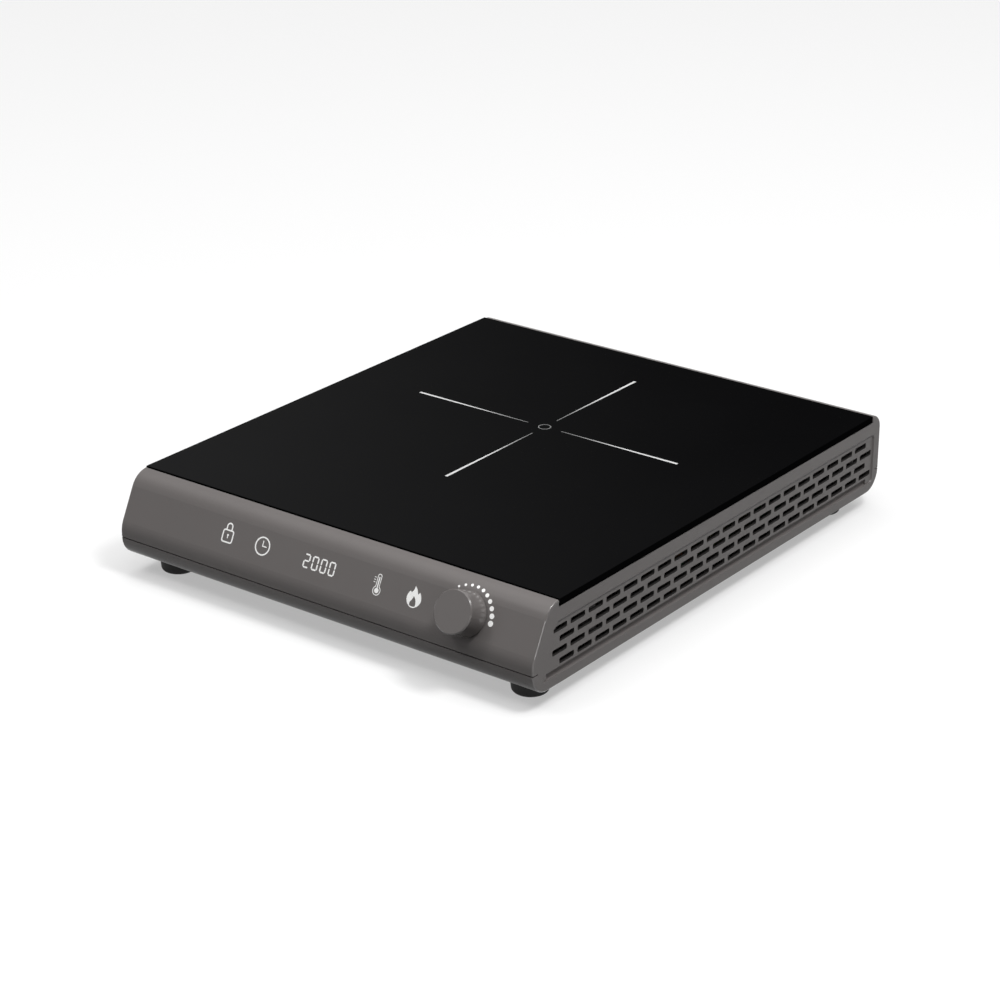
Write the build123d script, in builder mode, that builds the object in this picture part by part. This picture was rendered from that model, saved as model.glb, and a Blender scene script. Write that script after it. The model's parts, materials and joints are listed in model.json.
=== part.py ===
from build123d import *
import os
from math import cos, radians, sin, sqrt, tan

os.makedirs("parts", exist_ok=True)

# Portable induction cooktop. Millimetres, X to the right, Y to the back, Z up.
# Z is 0 where the feet stand, and X and Y are 0 at the middle of the overall box.

# Housing sizes
width = 290.0
body_height = 48.7
front_overhang = 22.9
rear_overhang = 10.0
wall = 2.5
side_wall = 3.8
edge_round = 1.0
rail_drop = 0.5
rail_edge_round = 0.8
top_front_radius = 13.5
panel_foot_radius = 14.0
bottom_radius = 12.6
top_rear_radius = 9.0
panel_tilt = 26.6
panel_foot_height = 19.6
panel_middle_drop = 16.3
seam_height = 13.1
seam_gap = 0.7
seam_return_depth = 1.0
seam_return_length = 4.0
tongue_thickness = 1.5
tongue_overlap = 2.4
tongue_clearance = 0.1
tongue_root = 5.9

# Glass and its ledge
glass_depth = 315.0
glass_thickness = 4.0
glass_gap = 0.4
glass_chamfer = 0.15
seal_thickness = 0.5
seal_width = 7.0
seal_inset = 1.5
ledge_width = 12.0
ledge_thickness = 2.5

# Vents in the side walls
recess_depth = 0.8
recess_slope = 0.8
recess_corner = 3.2
recess_top_drop = 12.2
recess_bottom_height = 5.8
recess_front_border = 11.0
recess_rear_border = 6.6
groove_depth = 1.2
groove_height = 1.1
groove_slope = 2.6
groove_end_gap = 7.0
slot_rows = 4
slots_per_row = 20
slot_length = 12.8
slot_height = 3.4
slot_corner = 1.0
slot_pitch = 15.92
slot_row_pitch = 6.4
slot_stagger = 6.3
slot_first_drop = 17.1
slot_front_offset = 5.25
slot_wall = 2.5
pocket_margin = 1.0

# Feet
foot_height = 10.6
foot_top_radius = 11.2
foot_bottom_radius = 10.0
foot_edge_round = 2.4
foot_side_inset = 20.0
foot_front_offset = 2.1
foot_rear_offset = 19.0
foot_pin_radius = 3.0
foot_pin_head = 1.2
foot_pin_head_height = 1.5

# Screws: shank radius, head radius and head height
small_screw = (1.4, 2.6, 1.6)
large_screw = (1.9, 3.4, 2.2)
screw_clearance = 0.1
screw_grip = 9.0
post_radius = 5.0
standoff_radius = 3.5
base_pad_radius = 6.5
base_pad_gap = 0.7
base_pad_height = 3.0
base_counterbore = 3.0
base_post_front = 40.0
base_post_rear = 7.0
fan_screw_grip = 1.25

# Knob and encoder, measured along the knob's axis from the panel's face
knob_side_inset = 47.0
knob_gap = 0.8
knob_height = 13.2
knob_radius = 11.9
knob_base_radius = 12.4
knob_bevel = 0.6
knob_shell = 1.6
knob_face_thickness = 2.5
knob_hub_radius = 5.0
knob_hub_start = 1.2
knob_travel = 0.5
shaft_radius = 3.0
shaft_flat = 1.5
running_fit = 0.05
bushing_radius = 3.6
bushing_proud = 0.5
bushing_clearance = 0.4
encoder_size = 13.0
encoder_plate = 0.9
encoder_wheel_radius = 4.8
encoder_wheel = 2.2
encoder_shaft_tail = 1.0
encoder_wheel_gap = 0.2
plunger_radius = 2.0
plunger_height = 1.4
press_clearance = 0.1
dome_radius = 3.0
dome_height = 0.8
dome_top_radius = 1.0

# Control board behind the panel
board_thickness = 1.6
board_gap = 6.5
control_board_left_margin = 26.0
control_board_right_margin = 19.0
control_board_height = 20.0
left_standoff_offset = 18.0
knob_standoff_offset = 19.0
left_signs_inset = (77.0, 102.4)
right_signs_from_knob = (59.4, 34.5)
touch_pad_radius = 5.0
display_x = -2.0
display_size = (25.0, 11.0)
led_size = (3.0, 1.6, 1.0)
led_offset = 8.0
buzzer_radius = 6.0
buzzer_height = 5.5
buzzer_hole = 1.2
ribbon_from_board_left = 38.0
ribbon_width = 14.0
ribbon_thickness = 1.0
ribbon_plug = (18.0, 6.0, 6.0)
ribbon_plug_inset = 1.0
ribbon_run_height = 3.0
ribbon_lift_start = 24.0
ribbon_lift_length = 12.0
ribbon_bend = 6.0

# Coil under the glass
coil_behind_middle = 26.5
coil_inner_radius = 24.0
coil_turns = 16
coil_pitch = 4.0
wire_radius = 1.6
wire_bend = 8.0
wire_slot_clearance = 0.8
former_rim = 10.0
former_thickness = 2.5
former_hole = 6.0
former_window = 25.0
ear_radius = 8.0
ear_reach = 6.0
mica_thickness = 0.6
mica_hole = 12.0
mica_margin = 5.0
mica_to_glass = 2.3
ferrite_count = 6
ferrite_inner_radius = 34.0
ferrite_length = 50.0
ferrite_width = 12.0
ferrite_thickness = 4.0
holder_radius = 8.0
sensor_radius = 3.0
sensor_height = 1.0
sensor_wire_radius = 1.2

# Main board on the base
main_board_from_coil = (14.0, -38.0)
main_board_size = (112.0, 130.0)
main_board_standoff = 5.0
main_board_inset = 6.0
component_clearance = 3.9
leg_height = 2.0
leg_size = 1.0
component_round = 1.0
heatsink_size = (34.0, 56.0)
heatsink_base = 4.0
heatsink_fin = 1.6
heatsink_fins = 7
transistor_size = (5.0, 16.0)
transistor_legs = 3
rectifier_size = (4.5, 25.0)
rectifier_legs = 4
resonant_capacitor_size = (32.0, 17.0)
filter_capacitor_size = (38.0, 16.0)
choke_radius = 10.5
choke_core = (7.0, 11.0)
choke_wire = 1.6
choke_turns = 14
transformer_size = (20.0, 16.0, 15.0)
chip_size = (12.0, 8.0, 2.0)
fuse_radius = 2.6
fuse_length = 22.0
fuse_cap = 5.0
varistor_radius = 6.0
varistor_thickness = 4.5
terminal_block_size = (22.0, 12.0, 12.0)
terminals = 3
terminal_pitch = 7.3
plug_size = (6.0, 8.0, 6.0)
lead_run = 10.0
lead_bend = 4.0
fan_lead_straight = 15.0

# Places of the components, from the main board's left front corner
heatsink_place = (31.0, 68.0)
transistor_along = 52.0
rectifier_along = 80.0
resonant_capacitor_place = (76.0, 62.0)
filter_capacitor_place = (79.0, 86.0)
choke_place = (86.0, 24.0)
transformer_place = (34.0, 18.0)
chip_place = (56.0, 22.0)
fan_plug_place = (4.0, 54.0)
sensor_plug_place = (4.0, 18.0)
mains_row_inset = 12.0
fuse_along = 78.0
varistor_along = 52.0
terminal_block_along = 26.0

# Cooling fan on the base
fan_from_coil = (-75.0, 31.0)
fan_size = 80.0
fan_height = 18.0
fan_bore = 37.5
fan_tip_gap = 1.2
fan_hole_inset = 4.25
fan_hub_radius = 16.0
fan_hub_wall = 1.8
fan_plate = 2.0
fan_spokes = 3
fan_spoke_width = 4.0
fan_blades = 7
fan_blade_thickness = 1.4
fan_blade_twist = 38.0
fan_shaft_radius = 1.5
fan_tube_radius = 3.2
fan_lead_radius = 1.2
fan_collar_height = 1.0
fan_cup_gap = 1.5
fan_magnet_thickness = 1.2
fan_magnet_gap = 0.1
fan_air_gap = 0.5
intake_radius = 35.0
intake_slot = 3.4
intake_pitch = 7.0

# Cord gland in the rear wall
gland_side_inset = 50.0
gland_height = 24.0
gland_bore = 3.75
gland_radius = 6.5
gland_flange_radius = 9.0
gland_flange = 2.0
gland_tail = 6.0
gland_barb = 0.8
gland_barb_length = 2.0

# Places worked out from the sizes above
tilt = radians(panel_tilt)
bottom_z = foot_height
top_z = bottom_z + body_height
rail_z = top_z - rail_drop
floor_z = bottom_z + wall
seam_z = bottom_z + seam_height
glass_under_z = top_z - glass_thickness
ledge_z = glass_under_z - seal_thickness
ledge_under_z = ledge_z - ledge_thickness
panel_foot_z = bottom_z + panel_foot_height
recess_low = bottom_z + recess_bottom_height
panel_middle_z = top_z - panel_middle_drop
inner_half_width = width / 2 - side_wall
field_x = width / 2 - recess_depth
base_post_x = inner_half_width - base_pad_radius - base_pad_gap
foot_x = width / 2 - foot_side_inset
knob_x = width / 2 - knob_side_inset
gland_x = width / 2 - gland_side_inset

panel_middle_back = (panel_middle_z - panel_foot_z) * tan(tilt) - front_overhang
knob_front = panel_middle_back - (knob_gap + knob_height) * cos(tilt) - knob_radius * sin(tilt)
gland_back = glass_depth + rear_overhang + gland_flange
glass_front_y = -(knob_front + gland_back) / 2
glass_rear_y = glass_front_y + glass_depth
glass_middle_y = glass_front_y + glass_depth / 2
front_y = glass_front_y - front_overhang
rear_y = glass_rear_y + rear_overhang
rail_front_y = front_y + (rail_z - panel_foot_z) * tan(tilt)
recess_low_front = front_y + recess_front_border / cos(tilt) + (recess_low - panel_foot_z) * tan(tilt)
recess_back = rear_y - recess_rear_border
body_middle_y = (front_y + rear_y) / 2
body_depth = rear_y - front_y

panel = Plane(
    origin=(0, glass_front_y + panel_middle_back, panel_middle_z),
    x_dir=(1, 0, 0),
    z_dir=(0, -cos(tilt), sin(tilt)),
)
control_face = panel.offset(-wall - board_gap)
control_back = control_face.offset(-board_thickness)

left_signs_x = [inset - width / 2 for inset in left_signs_inset]
right_signs_x = [knob_x - offset for offset in right_signs_from_knob]
touch_signs_x = left_signs_x + right_signs_x
display_gap_left = (left_signs_x[-1] + touch_pad_radius + display_x - display_size[0] / 2) / 2
display_gap_right = (right_signs_x[0] - touch_pad_radius + display_x + display_size[0] / 2) / 2
control_standoffs_x = (
    left_signs_x[0] - left_standoff_offset,
    display_gap_left,
    display_gap_right,
    knob_x - knob_standoff_offset,
)
control_board_left = left_signs_x[0] - control_board_left_margin
control_board_right = knob_x + control_board_right_margin
buzzer_x = (control_standoffs_x[0] + control_standoffs_x[1]) / 2

coil_center = (0, glass_middle_y + coil_behind_middle)
mica_z = glass_under_z - mica_to_glass - mica_thickness
former_top_z = mica_z - 2 * wire_radius
former_z = former_top_z - former_thickness
former_radius = coil_inner_radius + coil_turns * coil_pitch + former_rim
coil_post_angles = (90, 210, 330)

main_board_left = coil_center[0] + main_board_from_coil[0]
main_board_front = coil_center[1] + main_board_from_coil[1]
main_board_x = main_board_left + main_board_size[0] / 2
main_board_y = main_board_front + main_board_size[1] / 2
main_board_z = floor_z + main_board_standoff
main_board_top = main_board_z + board_thickness
component_height = former_z - ferrite_thickness - component_clearance - main_board_top
mains_row = main_board_size[1] - mains_row_inset
fuse_place = (fuse_along, mains_row)
varistor_place = (varistor_along, mains_row)
terminal_block_place = (terminal_block_along, mains_row)
ribbon_x = main_board_left + ribbon_from_board_left
fan_x = coil_center[0] + fan_from_coil[0]
fan_y = coil_center[1] + fan_from_coil[1]
fan_top_z = floor_z + fan_height

base_posts = [
    (side * base_post_x, place)
    for side in (-1, 1)
    for place in (glass_front_y + base_post_front, glass_rear_y - base_post_rear)
]
foot_places = [
    (side * foot_x, place)
    for side in (-1, 1)
    for place in (glass_front_y + foot_front_offset, glass_rear_y - foot_rear_offset)
]
board_corners = [
    (main_board_x + side * (main_board_size[0] / 2 - main_board_inset),
     main_board_y + end * (main_board_size[1] / 2 - main_board_inset))
    for side in (-1, 1)
    for end in (-1, 1)
]
coil_posts = [
    (coil_center[0] + (former_radius + ear_reach) * cos(radians(angle)),
     coil_center[1] + (former_radius + ear_reach) * sin(radians(angle)))
    for angle in coil_post_angles
]
fan_corners = [
    (fan_x + side * (fan_size / 2 - fan_hole_inset),
     fan_y + end * (fan_size / 2 - fan_hole_inset))
    for side in (-1, 1)
    for end in (-1, 1)
]

UP = (Align.CENTER, Align.CENTER, Align.MIN)
DOWN = (Align.CENTER, Align.CENTER, Align.MAX)


def save(builder, name):
    """Label a finished piece and write its STEP file."""
    builder.part.label = name
    export_step(builder.part, f"parts/{name}.step")


def at_height(places, z):
    """The same plan positions, all at one height."""
    return [(x, y, z) for x, y in places]


def housing_outline():
    """Edges of the whole housing's side profile."""
    with BuildLine() as outline:
        FilletPolyline(
            (rail_front_y, rail_z),
            (front_y, panel_foot_z),
            (front_y, bottom_z),
            (rear_y, bottom_z),
            (rear_y, rail_z),
            radius=[
                top_front_radius,
                panel_foot_radius,
                bottom_radius,
                bottom_radius,
                top_rear_radius,
            ],
            close=True,
        )
    return outline.edges()


def recess_outline(inset):
    """Edges round the slotted field of a side wall, its front edge parallel to the panel."""
    high = top_z - recess_top_drop - inset
    back = recess_back - inset
    low_front = recess_low_front + inset / cos(tilt)
    high_front = low_front + (high - recess_low) * tan(tilt)
    with BuildLine() as outline:
        FilletPolyline(
            (low_front, recess_low),
            (back, recess_low),
            (back, high),
            (high_front, high),
            radius=recess_corner,
            close=True,
        )
    return outline.edges()


def screws(places, z, size, length):
    """Pan-head screws in the active part, heads standing on height z and shanks pointing down."""
    shank, head, head_height = size
    with Locations(at_height(places, z)):
        Cylinder(head, head_height, align=UP)
        Cylinder(shank, length, align=DOWN)


def board_spot(place, z=None):
    """A point over the main board, from its left front corner, on its face unless a height is given."""
    height = main_board_top if z is None else z
    return (main_board_left + place[0], main_board_front + place[1], height)


# Cutters for the slotted side walls, which are thinner behind the slots

with BuildPart() as vent_recess:
    with BuildSketch(Plane.YZ.offset(width / 2)):
        make_face(recess_outline(0))
    with BuildSketch(Plane.YZ.offset(field_x)):
        make_face(recess_outline(recess_slope))
    loft()
    with BuildSketch(Plane.XZ.offset(-recess_low_front - groove_end_gap)):
        with BuildLine():
            Polyline(
                (width / 2, recess_low),
                (field_x - groove_depth, recess_low),
                (field_x - groove_depth, recess_low + groove_height),
                (field_x, recess_low + groove_height + groove_slope),
                (width / 2, recess_low + groove_height + groove_slope),
                close=True,
            )
        make_face()
    extrude(amount=recess_low_front - recess_back + 2 * groove_end_gap)
    mirror(about=Plane.YZ)

slot_row_length = (slots_per_row - 1) * slot_pitch + slot_length
slot_rows_height = (slot_rows - 1) * slot_row_pitch
pocket_length = slot_row_length + slot_stagger + 2 * pocket_margin
pocket_height = slot_rows_height + slot_height + 2 * pocket_margin
pocket_front = glass_front_y - slot_front_offset - pocket_margin
with BuildPart() as vent_slots:
    with BuildSketch(Plane.YZ.offset(width / 2)):
        for row in range(slot_rows):
            row_front = glass_front_y - slot_front_offset + slot_stagger * (row % 2)
            row_z = top_z - slot_first_drop - row * slot_row_pitch
            with Locations((row_front + slot_row_length / 2, row_z)):
                with GridLocations(slot_pitch, 1, slots_per_row, 1):
                    RectangleRounded(slot_length, slot_height, slot_corner)
    extrude(amount=-(side_wall + wall))
    with BuildSketch(Plane.YZ.offset(inner_half_width)):
        with Locations((pocket_front + pocket_length / 2, top_z - slot_first_drop - slot_rows_height / 2)):
            Rectangle(pocket_length, pocket_height)
    extrude(amount=field_x - slot_wall - inner_half_width)
    mirror(about=Plane.YZ)

# Upper housing: front panel, slotted side walls, rear wall and the ledge under the glass

with BuildPart() as upper_housing:
    with BuildSketch(Plane.YZ):
        make_face(housing_outline())
    extrude(amount=width / 2, both=True)
    fillet(faces().filter_by(Axis.X).edges(), edge_round)
    with BuildSketch(Plane.XY.offset(ledge_z)):
        with Locations((0, glass_middle_y)):
            Rectangle(width, glass_depth + 2 * glass_gap)
    extrude(amount=top_z - ledge_z, mode=Mode.SUBTRACT)
    rail_edges = edges().filter_by(Axis.X).filter_by(
        lambda edge: edge.center().Z > glass_under_z + glass_thickness / 2
        and abs(abs(edge.center().Y - glass_middle_y) - glass_depth / 2 - glass_gap) < glass_gap / 2
    )
    fillet(rail_edges, rail_edge_round)
    with BuildSketch(Plane.YZ):
        make_face(housing_outline())
        offset(amount=-wall, mode=Mode.REPLACE)
        with Locations((body_middle_y, ledge_under_z)):
            Rectangle(body_depth, body_height, align=(Align.CENTER, Align.MIN), mode=Mode.SUBTRACT)
    extrude(amount=inner_half_width, both=True, mode=Mode.SUBTRACT)
    with BuildSketch(Plane.XY.offset(ledge_under_z)):
        with Locations((0, glass_middle_y)):
            Rectangle(width - 2 * ledge_width, glass_depth - 2 * ledge_width)
    extrude(amount=ledge_thickness, mode=Mode.SUBTRACT)
    with Locations((0, body_middle_y, seam_z)):
        Box(2 * inner_half_width, body_depth, seam_height, align=DOWN, mode=Mode.SUBTRACT)
    for end_y in (front_y, rear_y):
        with Locations((0, end_y, seam_z)):
            Box(width, 2 * seam_return_depth, seam_gap, align=DOWN, mode=Mode.SUBTRACT)
        with Locations((-width / 2, end_y, seam_z), (width / 2, end_y, seam_z)):
            Box(2 * seam_return_depth, 2 * seam_return_length, seam_gap, align=DOWN, mode=Mode.SUBTRACT)
    with Locations(at_height(base_posts, floor_z + base_pad_height)):
        Cylinder(post_radius, ledge_under_z - floor_z - base_pad_height, align=UP)
    with Locations(at_height(base_posts, floor_z + base_pad_height)):
        Cylinder(large_screw[0] + screw_clearance, screw_grip + wall, align=UP, mode=Mode.SUBTRACT)
    with BuildSketch(control_face):
        with Locations([(x, 0) for x in control_standoffs_x]):
            Circle(standoff_radius)
    extrude(amount=board_gap)
    with BuildSketch(control_face):
        with Locations([(x, 0) for x in control_standoffs_x]):
            Circle(small_screw[0] + screw_clearance)
    extrude(amount=board_gap, mode=Mode.SUBTRACT)
    with BuildSketch(panel):
        with Locations((knob_x, 0)):
            Circle(bushing_radius + bushing_clearance)
    extrude(amount=-wall, mode=Mode.SUBTRACT)
    with BuildSketch(Plane((gland_x, rear_y, bottom_z + gland_height), z_dir=(0, 1, 0))):
        Circle(gland_radius)
    extrude(amount=-wall, mode=Mode.SUBTRACT)
    add(vent_recess.part, mode=Mode.SUBTRACT)
    add(vent_slots.part, mode=Mode.SUBTRACT)
save(upper_housing, "upper_housing")

# Lower housing: base tray with its front and rear strips, bosses and the fan's intake

with BuildPart() as lower_housing:
    with BuildSketch(Plane.YZ):
        make_face(housing_outline())
        with Locations((body_middle_y, seam_z - seam_gap)):
            Rectangle(body_depth, body_height, align=(Align.CENTER, Align.MIN), mode=Mode.SUBTRACT)
    extrude(amount=inner_half_width, both=True)
    with BuildSketch(Plane.YZ):
        make_face(housing_outline())
        offset(amount=-wall, mode=Mode.REPLACE)
    extrude(amount=inner_half_width, both=True, mode=Mode.SUBTRACT)
    tongue_height = seam_z + tongue_overlap - floor_z - tongue_root
    for tongue_y in (
        front_y + wall + tongue_clearance + tongue_thickness / 2,
        rear_y - wall - tongue_clearance - tongue_thickness / 2,
    ):
        with Locations((0, tongue_y, seam_z + tongue_overlap)):
            Box(2 * inner_half_width, tongue_thickness, tongue_height, align=DOWN)
    with Locations(at_height(base_posts, floor_z)):
        Cylinder(base_pad_radius, base_pad_height, align=UP)
    with Locations(at_height(base_posts, bottom_z)):
        Cylinder(large_screw[1] + 2 * screw_clearance, base_counterbore, align=UP, mode=Mode.SUBTRACT)
        Cylinder(large_screw[0] + screw_clearance, wall + base_pad_height, align=UP, mode=Mode.SUBTRACT)
    with Locations(at_height(foot_places, bottom_z)):
        Cylinder(foot_pin_radius + screw_clearance, wall, align=UP, mode=Mode.SUBTRACT)
    with Locations(at_height(board_corners, floor_z)):
        Cylinder(standoff_radius, main_board_standoff, align=UP)
    with Locations(at_height(board_corners, main_board_z)):
        Cylinder(small_screw[0] + screw_clearance, main_board_standoff, align=DOWN, mode=Mode.SUBTRACT)
    with Locations(at_height(coil_posts, floor_z)):
        Cylinder(post_radius, former_z - floor_z, align=UP)
    with Locations(at_height(coil_posts, former_z)):
        Cylinder(large_screw[0] + screw_clearance, screw_grip + wall, align=DOWN, mode=Mode.SUBTRACT)
    with Locations(at_height(fan_corners, floor_z)):
        Cylinder(small_screw[0] + screw_clearance, fan_screw_grip, align=DOWN, mode=Mode.SUBTRACT)
    with BuildSketch(Plane.XY.offset(bottom_z)):
        rows_each_way = int(intake_radius // intake_pitch)
        for row in range(-rows_each_way, rows_each_way + 1):
            half_chord = sqrt(intake_radius**2 - (row * intake_pitch) ** 2)
            if half_chord > intake_slot:
                with Locations((fan_x, fan_y + row * intake_pitch)):
                    SlotOverall(2 * half_chord, intake_slot)
    extrude(amount=wall, mode=Mode.SUBTRACT)
save(lower_housing, "lower_housing")

with BuildPart() as base_screws:
    for x, y in base_posts:
        with Locations((x, y, bottom_z + base_counterbore)):
            Cylinder(large_screw[1], large_screw[2], align=DOWN)
            Cylinder(large_screw[0], wall + base_pad_height - base_counterbore + screw_grip, align=UP)
save(base_screws, "base_screws")

with BuildPart() as rubber_feet:
    for x, y in foot_places:
        with BuildSketch(Plane((x, y, 0), x_dir=(1, 0, 0), z_dir=(0, -1, 0))):
            with BuildLine():
                FilletPolyline(
                    (0, 0),
                    (foot_bottom_radius, 0),
                    (foot_top_radius, foot_height),
                    (foot_pin_radius, foot_height),
                    (foot_pin_radius, foot_height + wall),
                    (foot_pin_radius + foot_pin_head, foot_height + wall),
                    (foot_pin_radius, foot_height + wall + foot_pin_head_height),
                    (0, foot_height + wall + foot_pin_head_height),
                    radius=[foot_edge_round, 0, 0, 0, 0, 0],
                )
                Line((0, foot_height + wall + foot_pin_head_height), (0, 0))
            make_face()
        revolve(axis=Axis((x, y, 0), (0, 0, 1)))
save(rubber_feet, "rubber_feet")

# Glass and its seal

with BuildPart() as glass_top:
    with Locations((0, glass_middle_y, glass_under_z)):
        Box(width, glass_depth, glass_thickness, align=UP)
    chamfer(faces().sort_by(Axis.Z)[-1].edges(), glass_chamfer)
save(glass_top, "glass_top")

with BuildPart() as glass_seal:
    with BuildSketch(Plane.XY.offset(ledge_z)):
        with Locations((0, glass_middle_y)):
            Rectangle(width - 2 * seal_inset, glass_depth - 2 * seal_inset)
            Rectangle(
                width - 2 * (seal_inset + seal_width),
                glass_depth - 2 * (seal_inset + seal_width),
                mode=Mode.SUBTRACT,
            )
    extrude(amount=seal_thickness)
save(glass_seal, "glass_seal")

# Knob and its push encoder, all on the knob's axis

knob_axis = Plane(panel.from_local_coords((knob_x, 0, 0)), x_dir=(1, 0, 0), z_dir=panel.z_dir)
knob_top = knob_gap + knob_height
shaft_top = knob_top - knob_face_thickness
board_level = -wall - board_gap
plate_level = -wall - encoder_plate
dome_top = board_level + dome_height
plunger_top = dome_top + plunger_height
press_floor = plunger_top - knob_travel - press_clearance
wheel_floor = plunger_top + encoder_shaft_tail


def knob_disc(level, height, radius, mode=Mode.ADD):
    """A round slab on the knob's axis, from a level above the panel's face."""
    with BuildSketch(knob_axis.offset(level)) as disc:
        Circle(radius)
    extrude(disc.sketch, amount=height, mode=mode)


def flatted_disc(level, height, radius, flat, mode=Mode.ADD):
    """A round slab on the knob's axis with one flat."""
    with BuildSketch(knob_axis.offset(level)) as disc:
        Circle(radius)
        with Locations((0, flat)):
            Rectangle(2 * radius, 2 * radius, align=(Align.CENTER, Align.MIN), mode=Mode.SUBTRACT)
    extrude(disc.sketch, amount=height, mode=mode)


with BuildPart() as control_knob:
    with BuildSketch(knob_axis.offset(knob_gap)):
        Circle(knob_base_radius)
    with BuildSketch(knob_axis.offset(knob_top)):
        Circle(knob_radius)
    loft()
    chamfer(edges().sort_by(Axis(knob_axis.origin, knob_axis.z_dir))[-1], knob_bevel)
    knob_disc(knob_gap, knob_height - knob_face_thickness, knob_radius - knob_shell, Mode.SUBTRACT)
    hub_level = knob_gap + knob_hub_start
    knob_disc(hub_level, shaft_top - hub_level, knob_hub_radius)
    flatted_disc(hub_level, shaft_top - hub_level, shaft_radius, shaft_flat, Mode.SUBTRACT)
save(control_knob, "control_knob")

with BuildPart() as knob_shaft:
    flatted_disc(plunger_top, shaft_top - plunger_top, shaft_radius, shaft_flat)
save(knob_shaft, "knob_shaft")

with BuildPart() as encoder_bushing:
    with BuildSketch(knob_axis.offset(plate_level)):
        Rectangle(encoder_size, encoder_size)
    extrude(amount=encoder_plate)
    knob_disc(-wall, wall + bushing_proud, bushing_radius)
    knob_disc(plate_level, encoder_plate + wall + bushing_proud, shaft_radius + running_fit, Mode.SUBTRACT)
save(encoder_bushing, "encoder_bushing")

with BuildPart() as encoder_case:
    with BuildSketch(knob_axis.offset(board_level)):
        Rectangle(encoder_size, encoder_size)
    extrude(amount=plate_level - board_level)
    wheel_room_radius = encoder_wheel_radius + encoder_wheel_gap
    knob_disc(wheel_floor, plate_level - wheel_floor, wheel_room_radius, Mode.SUBTRACT)
    knob_disc(press_floor, wheel_floor - press_floor, shaft_radius + encoder_wheel_gap, Mode.SUBTRACT)
    knob_disc(dome_top, press_floor - dome_top, plunger_radius + running_fit, Mode.SUBTRACT)
    knob_disc(board_level, dome_height, dome_radius + running_fit, Mode.SUBTRACT)
save(encoder_case, "encoder_case")

with BuildPart() as encoder_rotor:
    knob_disc(wheel_floor, encoder_wheel, encoder_wheel_radius)
    flatted_disc(
        wheel_floor,
        encoder_wheel,
        shaft_radius + running_fit,
        shaft_flat + running_fit,
        Mode.SUBTRACT,
    )
save(encoder_rotor, "encoder_rotor")

with BuildPart() as encoder_plunger:
    knob_disc(dome_top, plunger_height, plunger_radius)
save(encoder_plunger, "encoder_plunger")

with BuildPart() as encoder_dome:
    with BuildSketch(knob_axis.offset(board_level)):
        Circle(dome_radius)
    with BuildSketch(knob_axis.offset(dome_top)):
        Circle(dome_top_radius)
    loft()
save(encoder_dome, "encoder_dome")

# Control board and what stands on it

control_board_middle = (control_board_left + control_board_right) / 2
control_board_width = control_board_right - control_board_left

with BuildPart() as control_board:
    with BuildSketch(control_back):
        with Locations((control_board_middle, 0)):
            Rectangle(control_board_width, control_board_height)
        with Locations([(x, 0) for x in control_standoffs_x]):
            Circle(small_screw[0] + screw_clearance, mode=Mode.SUBTRACT)
    extrude(amount=board_thickness)
save(control_board, "control_board")

with BuildPart() as control_board_screws:
    with BuildSketch(control_back):
        with Locations([(x, 0) for x in control_standoffs_x]):
            Circle(small_screw[1])
    extrude(amount=-small_screw[2])
    with BuildSketch(control_back):
        with Locations([(x, 0) for x in control_standoffs_x]):
            Circle(small_screw[0])
    extrude(amount=board_thickness + board_gap - screw_clearance)
save(control_board_screws, "control_board_screws")

with BuildPart() as led_display:
    with BuildSketch(control_face):
        with Locations((display_x, 0)):
            Rectangle(*display_size)
    extrude(amount=board_gap)
save(led_display, "led_display")

with BuildPart() as touch_pads:
    with BuildSketch(control_face):
        with Locations([(x, 0) for x in touch_signs_x]):
            Circle(touch_pad_radius)
    extrude(amount=board_gap)
save(touch_pads, "touch_pads")

with BuildPart() as indicator_leds:
    with BuildSketch(control_face):
        with Locations([(x, led_offset) for x in touch_signs_x]):
            Rectangle(led_size[0], led_size[1])
    extrude(amount=led_size[2])
save(indicator_leds, "indicator_leds")

with BuildPart() as buzzer:
    with BuildSketch(control_back):
        with Locations((buzzer_x, 0)):
            Circle(buzzer_radius)
            Circle(buzzer_hole, mode=Mode.SUBTRACT)
    extrude(amount=-buzzer_height)
save(buzzer, "buzzer")

# Ribbon from the control board along the base to the main board

ribbon_plug_y = main_board_front + ribbon_plug_inset
ribbon_entry_z = main_board_top + ribbon_plug[2] / 2
ribbon_start = control_back.from_local_coords((ribbon_x, 0, -ribbon_plug[2]))
ribbon_run_z = floor_z + ribbon_run_height
ribbon_drop = (ribbon_start.Z - ribbon_run_z) / sin(tilt)
ribbon_lift_y = main_board_front - ribbon_lift_start

with BuildPart() as ribbon_connectors:
    with BuildSketch(control_back):
        with Locations((ribbon_x, 0)):
            Rectangle(ribbon_plug[0], ribbon_plug[1])
    extrude(amount=-ribbon_plug[2])
    with Locations((ribbon_x, ribbon_plug_y, main_board_top)):
        Box(*ribbon_plug, align=(Align.CENTER, Align.MIN, Align.MIN))
save(ribbon_connectors, "ribbon_connectors")

with BuildPart() as ribbon_cable:
    with BuildLine():
        FilletPolyline(
            ribbon_start,
            (ribbon_x, ribbon_start.Y + ribbon_drop * cos(tilt), ribbon_run_z),
            (ribbon_x, ribbon_lift_y, ribbon_run_z),
            (ribbon_x, ribbon_lift_y + ribbon_lift_length, ribbon_entry_z),
            (ribbon_x, ribbon_plug_y, ribbon_entry_z),
            radius=ribbon_bend,
        )
    with BuildSketch(Plane(ribbon_start, x_dir=(1, 0, 0), z_dir=-panel.z_dir)):
        Rectangle(ribbon_width, ribbon_thickness)
    sweep()
save(ribbon_cable, "ribbon_cable")

# Coil: one wire up from a terminal, round the spiral and down to the other terminal

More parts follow.
